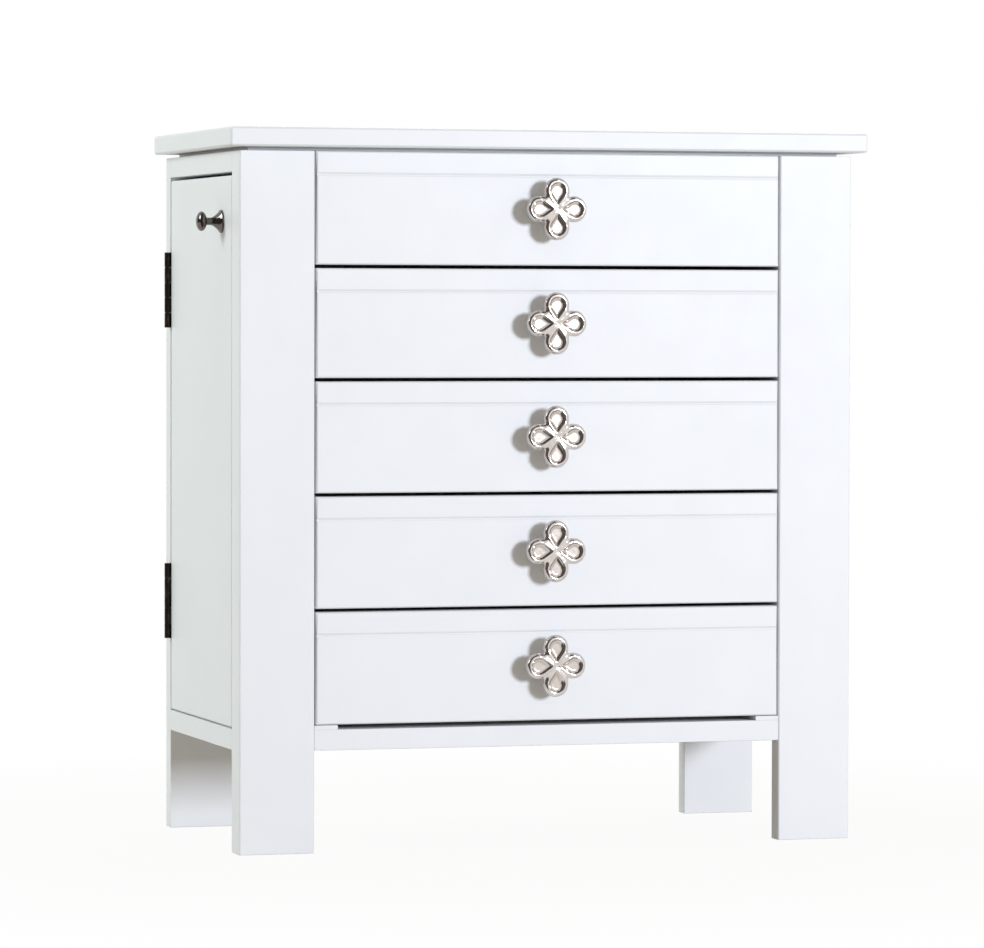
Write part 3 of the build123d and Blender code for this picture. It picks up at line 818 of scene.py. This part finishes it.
# %% Linings
def rounded_rectangle(x, y, z, radius, per_corner=6, per_side=8):
    """Points round a rectangle with round corners, anticlockwise, at one height."""
    arcs = []
    left, right, front, rear = x[0] + radius, x[1] - radius, y[0] + radius, y[1] - radius
    for centre_x, centre_y, start in ((right, front, -90), (right, rear, 0), (left, rear, 90),
                                      (left, front, 180)):
        turns = np.radians(start + np.linspace(0, 90, per_corner + 1))
        arcs.append(np.column_stack((centre_x + radius * np.cos(turns), centre_y + radius * np.sin(turns))))
    outline = []
    for arc, following in zip(arcs, arcs[1:] + arcs[:1]):
        outline += [arc, np.linspace(arc[-1], following[0], per_side + 1)[1:-1]]
    outline = np.vstack(outline)
    return np.column_stack((outline, np.full(len(outline), z)))


def lining(node):
    """A velvet tray with a folded rim, round inner corners and a slightly crowned floor."""
    low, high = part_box(node)
    wall, fold, bend, crown = 1.0 * MM, 0.5 * MM, 3 * MM, 0.35 * MM
    card_corner, fold_corner, inner_corner, floor_corner = 0.3 * MM, 0.4 * MM, 2.5 * MM, 2 * MM

    def ring(inset, z, radius):
        return rounded_rectangle((low.x + inset, high.x - inset), (low.y + inset, high.y - inset), z, radius)

    rings = [ring(30 * MM, low.z, 0.2 * MM), ring(1 * MM, low.z, 0.2 * MM),
             ring(0, low.z + 0.6 * MM, card_corner), ring(0, high.z - fold, card_corner)]
    for a in math.pi * np.arange(1, 6) / 6:
        rings.append(ring(fold * (1 - math.cos(a)), high.z - fold + fold * math.sin(a), fold_corner))
    for share in (0.0, 0.25, 0.5, 0.75, 1.0):
        level = high.z - fold - share * (high.z - low.z - fold - wall - bend)
        rings.append(ring(wall, level, inner_corner))
    for a in math.pi / 2 * np.arange(1, 6) / 5:
        rings.append(ring(wall + bend * (1 - math.cos(a)), low.z + wall + bend * (1 - math.sin(a)), bend))
    last_half = 1 * MM
    floor_half = min(high.x - low.x, high.y - low.y) / 2 - wall - bend - last_half
    for share in (0.25, 0.45, 0.65, 0.85, 0.97):
        rings.append(ring(wall + bend + share * floor_half, low.z + wall + crown * smooth_step(share),
                          floor_corner))
    return make_piece(f"velvet_{node}", skin(rings), velvet, node, (node,), sharp_degrees=60)


linings = [lining(node) for node in [f"drawer_{number}_lining" for number in range(1, 6)] + ["tray_lining"]]
print(len(linings), "linings of", len(linings[0].data.polygons), "faces")

# %% [markdown]
# ## Ring rolls
# Rings stand in the grooves between padded rolls: foam strips wrapped in velvet and pushed side by side
# into the tray. Each roll swells where nothing presses on it, is flat below, and its wrapping is tucked in
# at the ends. The rolls are only 12 mm thick and held on all sides, so a formula for the swell shows the
# same form as a simulation would, and it stays tight.

# %% Padded ring rolls
roll_count, roll_width, tuck = 8, 12.6 * MM, 5 * MM
squareness, flat_level, end_share, lift = 2.6, 0.82, 0.15, 0.04
ripple_share, ripples_per_mm = 0.018, 0.21


def ring_roll(x, y, z, phase):
    """One padded roll between limits along X, Y and Z: crowned, flat below, tucked at its ends."""
    around, along = 40, 56
    middle_y, half_y, height = (y[0] + y[1]) / 2, (y[1] - y[0]) / 2, z[1] - z[0]
    angles = even_angles(around)
    across, upwards = [np.sign(wave) * np.abs(wave) ** (2 / squareness)
                       for wave in (np.cos(angles), np.sin(angles))]
    upwards = (np.maximum(upwards, -flat_level) + flat_level) / (1 + flat_level)
    rings = []
    for share in np.linspace(0, 1, along + 1):
        position = x[0] + (x[1] - x[0]) * (1 - math.cos(math.pi * share)) / 2
        from_end = min(position - x[0], x[1] - position)
        swell = end_share + (1 - end_share) * math.sqrt(max(0.0, 1 - (1 - min(from_end / tuck, 1)) ** 2))
        swell *= 1 - ripple_share * math.sin(position / MM * ripples_per_mm + phase) ** 2
        rings.append(np.column_stack((np.full(around, position), middle_y + half_y * swell * across,
                                      z[0] + height * (lift + (1 - lift) * upwards * swell))))
    return skin(rings)


low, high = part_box("ring_rolls")
roll_pitch = (high.y - low.y - roll_width) / (roll_count - 1)
rolls = [ring_roll((low.x, high.x), (low.y + i * roll_pitch, low.y + i * roll_pitch + roll_width),
                   (low.z, high.z), phase=i) for i in range(roll_count)]
ring_pad = make_piece("padded_ring_rolls", join_shells(rolls), velvet, "ring_rolls", ("ring_rolls",), 60)
print(roll_count, "rolls,", round(roll_pitch / MM, 2), "mm apart")

# %% [markdown]
# ## Bumpers
# Two clear rubber buttons keep the lid off the case. They are cast as low domes, so each is turned from the
# profile of a dome with a soft shoulder.

# %% Bumpers
low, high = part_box("lid_bumpers")
dome_height, dome_radius = (high.z - low.z) / MM, (high.y - low.y) / 2 / MM
wall_height, top_radius = dome_height * 0.45, dome_radius * 0.55
dome_profile = rounded_profile([(0, 0, 0), (0, dome_radius, 0), (wall_height, dome_radius, 0.3),
                                (dome_height, top_radius, 1.2), (dome_height, 0, 0)], step=0.1)
dome_seats = [(x, (low.y + high.y) / 2, low.z)
              for x in (low.x + dome_radius * MM, high.x - dome_radius * MM)]
domes = [skin(turned(dome_profile, seat, (0, 0, 1), 40)) for seat in dome_seats]
make_piece("rubber_domes", join_shells(domes), rubber, "lid_bumpers", ("lid_bumpers",), 50)
print("bumpers", round(dome_height, 1), "mm high")

# %% [markdown]
# ## Pole plates
# Each magnet catch shows two steel pole plates at its face, which carry the pull of the magnet behind them
# to the strike. They are plain small blocks that stand a tenth of a millimetre proud.

# %% Pole plates of the catches
def block(x, y, z, corner=0.1 * MM):
    """A thin plate between limits in metres, with its upright corners rounded."""
    return skin([rounded_rectangle(x, y, level, corner, 2, 1) for level in z])


low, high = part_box("door_catches")
plate_sunk, plate_proud, plate_margin, plate_height = 2 * MM, 0.1 * MM, 2.5 * MM, 1.6 * MM
plates = [block(sorted((face_x - sign * plate_sunk, face_x + sign * plate_proud)),
                (low.y + plate_margin, high.y - plate_margin), (low.z + level, low.z + level + plate_height))
          for sign, face_x in ((-1, low.x), (1, high.x)) for level in (2.2 * MM, 6.6 * MM)]
make_piece("catch_pole_plates", join_shells(plates), zinc, "door_catches", sharp_degrees=30)
print(len(plates), "pole plates")

# %% [markdown]
# ## The lip under the lid
# Seen in the photograph the gap under the lid is grey, not black, so something pale closes it a little way
# behind the edge. On such chests that is a thin painted lip, glued under the lid along the front and the
# sides, which keeps dust out of the tray. Three thin strips are enough, because only their faces show.

# %% Lid lip
lip_setback, lip_width, lip_clearance, lip_let_in = 6.0 * MM, 2.0 * MM, 0.25 * MM, 0.2 * MM
lip_to_pins = 6 * MM
case_low, case_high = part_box("front_left_post")[0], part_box("front_right_post")[1]
lip_z = (case_high.z + lip_clearance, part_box("lid_panel")[0].z + lip_let_in)
outer_x, front_y = case_high.x - lip_setback, case_low.y + lip_setback
lip_rear_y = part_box("lid_hinge_pins")[0].y - lip_to_pins
lips = [block((-outer_x, outer_x), (front_y, front_y + lip_width), lip_z)]
for sign in (-1, 1):
    lips.append(block(sorted((sign * outer_x, sign * (outer_x - lip_width))),
                      (front_y + lip_width, lip_rear_y), lip_z))
lid_lip = make_piece("lid_dust_lip", join_shells(lips), painted, "lid_panel", sharp_degrees=30)
print("lip", round((lip_z[1] - lip_z[0]) / MM, 2), "mm high, of", len(lid_lip.data.polygons), "faces")

# %% [markdown]
# ## Floor and background
# The photograph was cut out on pure white. A large pale sheet stands in for the studio table. Seen directly
# or in a reflection it glows white by its own colour, and close to the chest some of its plain shading is
# let through, so that the chest keeps a faint shadow and stands on something. That plain shading is a warm
# grey, because it also throws light back up, and the undersides look warm.

# %% Floor
def seen_rays(tree):
    """1 for rays from the camera, a reflection or clear rubber, 0 for rays that only carry light about."""
    ray = add_node(tree, "ShaderNodeLightPath")
    seen = ray.outputs["Is Camera Ray"]
    for kind in ("Is Glossy Ray", "Is Transmission Ray"):
        seen = add_node(tree, "ShaderNodeMath", {"operation": "MAXIMUM"},
                        wires={0: seen, 1: ray.outputs[kind]}).outputs[0]
    return seen


def studio_paper():
    """White background paper: plain white far away, with the shadow of the chest kept close to it."""
    material = bpy.data.materials.new("white_background_paper")
    material.use_nodes = True
    tree = material.node_tree
    tree.nodes.remove(tree.nodes["Principled BSDF"])
    matt = add_node(tree, "ShaderNodeBsdfDiffuse", values={"Color": linear("BCB0A2")})
    glow = add_node(tree, "ShaderNodeEmission", values={"Strength": 1.0})
    place = add_node(tree, "ShaderNodeNewGeometry").outputs["Position"]
    distance = add_node(tree, "ShaderNodeVectorMath", {"operation": "LENGTH"}, wires={0: place})
    shadow_end, white_from, glow_near = 0.22, 0.62, 0.95
    far = add_node(tree, "ShaderNodeMapRange", {"interpolation_type": "SMOOTHSTEP"},
                   {"From Min": shadow_end, "From Max": white_from, "To Min": glow_near, "To Max": 1.0},
                   {"Value": distance.outputs["Value"]})
    share = add_node(tree, "ShaderNodeMath", {"operation": "MULTIPLY"},
                     wires={0: seen_rays(tree), 1: far.outputs["Result"]}).outputs[0]
    mixed = add_node(tree, "ShaderNodeMixShader", wires={0: share, 1: matt.outputs[0], 2: glow.outputs[0]})
    wire(tree.nodes["Material Output"], {"Surface": mixed.outputs[0]})
    return material


def stage_sheet(name, corners, material):
    """A flat four-cornered sheet that belongs to the studio, not to the chest."""
    mesh = bpy.data.meshes.new(name)
    mesh.from_pydata(corners, [], [(0, 1, 2, 3)])
    mesh.materials.append(material)
    sheet = add_object(name, mesh)
    return sheet


def level_sheet(name, left, right, near, far, level, material):
    """A level sheet between its limits along X and Y."""
    return stage_sheet(name, [(left, near, level), (right, near, level), (right, far, level),
                              (left, far, level)], material)


floor_half = 2.5
level_sheet("floor_sheet", -floor_half, floor_half, -floor_half, floor_half, 0, studio_paper())
print("floor sheet", 2 * floor_half, "m wide")

# %% [markdown]
# ## Light
# One soft box to the right of the camera throws the knobs' shadows to the left, and a larger, weaker one on
# the left opens up the side of the case. A third, behind the chest, changes little in this view but keeps
# the back as white as the front.

# %% Lamps
def soft_box(name, azimuth, elevation, distance, size, watts, colour):
    """A square lamp aimed at the chest's middle; azimuth 0 is in front, positive to the right."""
    data = bpy.data.lights.new(name, "AREA")
    data.shape, data.size, data.energy, data.color = "SQUARE", size, watts, linear(colour)[:3]
    lamp = add_object(name, data)
    a, e = math.radians(azimuth), math.radians(elevation)
    away = Vector((math.sin(a) * math.cos(e), -math.cos(a) * math.cos(e), math.sin(e)))
    aim = away.to_track_quat("Z", "Y").to_matrix().to_4x4()
    lamp.matrix_world = Matrix.Translation(chest_middle + away * distance) @ aim


chest_middle = Vector((0, 0, 0.19))
soft_box("key_box", azimuth=24, elevation=8.5, distance=4.5, size=0.77, watts=128, colour="EFF4FF")
soft_box("left_fill", azimuth=-102, elevation=28, distance=2.6, size=1.0, watts=31, colour="EFFDFF")
soft_box("back_fill", azimuth=152, elevation=30, distance=2.8, size=1.2, watts=34, colour="F6FAFF")
print("three soft boxes in place")

# %% [markdown]
# The room adds an even glow, a little warm like reflected light from walls. Seen directly or in a reflection
# it is pure white.

# %% The room's glow
world = bpy.data.worlds.new("studio_room")
world.use_nodes = True
bpy.context.scene.world = world
room = world.node_tree
background = room.nodes["Background"]
room_glow, room_tint = 0.36, "FFF6EC"
seen = seen_rays(room)
strength = add_node(room, "ShaderNodeMapRange", values={"To Min": room_glow, "To Max": 1.0},
                    wires={"Value": seen})
tint = add_node(room, "ShaderNodeMix", {"data_type": "RGBA"},
                {"A": linear(room_tint), "B": linear("FFFFFF")}, {"Factor": seen})
wire(background, {"Color": tint.outputs["Result"], "Strength": strength.outputs["Result"]})
print("room glow", room_glow)

# %% [markdown]
# ## Flags for the metal
# Bright metal needs something dark to reflect or it vanishes against white. So grey cloths stand in an arc
# on the left, hang above and lie in front, where only reflections see them: a photographer's usual trick.

# %% Flags
def grey_cloth():
    """Grey studio cloth: dark enough to draw an edge on metal, not so black that a mirror dies."""
    material, shader, place = new_material("grey_flag_cloth", {"Roughness": 1.0, "Specular IOR Level": 0.0})
    wire(shader, {"Base Color": between(speckle(place, 2), "6E6A68", "7A7673")})
    return material


flag_cloth = grey_cloth()
flag_low, flag_high, near_arc, far_arc = 0.02, 2.0, 1.3, 3.6
flags = []
for first, last, radius in ((-135, -112, far_arc), (-112, -88, far_arc), (-88, -56, near_arc),
                            (-56, -24, near_arc)):
    ends = [(radius * math.sin(math.radians(a)), -radius * math.cos(math.radians(a))) for a in (first, last)]
    flags.append(stage_sheet(f"flag_{-first}", [(*ends[0], flag_low), (*ends[1], flag_low),
                                                (*ends[1], flag_high), (*ends[0], flag_high)], flag_cloth))
flags.append(level_sheet("flag_above", -1.2, 0.5, -1.1, 0.3, flag_high, flag_cloth))
flags.append(level_sheet("flag_on_floor", -1.3, -0.06, -1.4, -0.12, flag_low, flag_cloth))
for flag in flags:
    flag.visible_camera = flag.visible_diffuse = flag.visible_shadow = flag.visible_transmission = False
print(len(flags), "flags, seen only in reflections")

# %% [markdown]
# ## View settings
# The Standard view shows each colour as it was written.

# %% Finish
bpy.context.scene.view_settings.view_transform = "Standard"
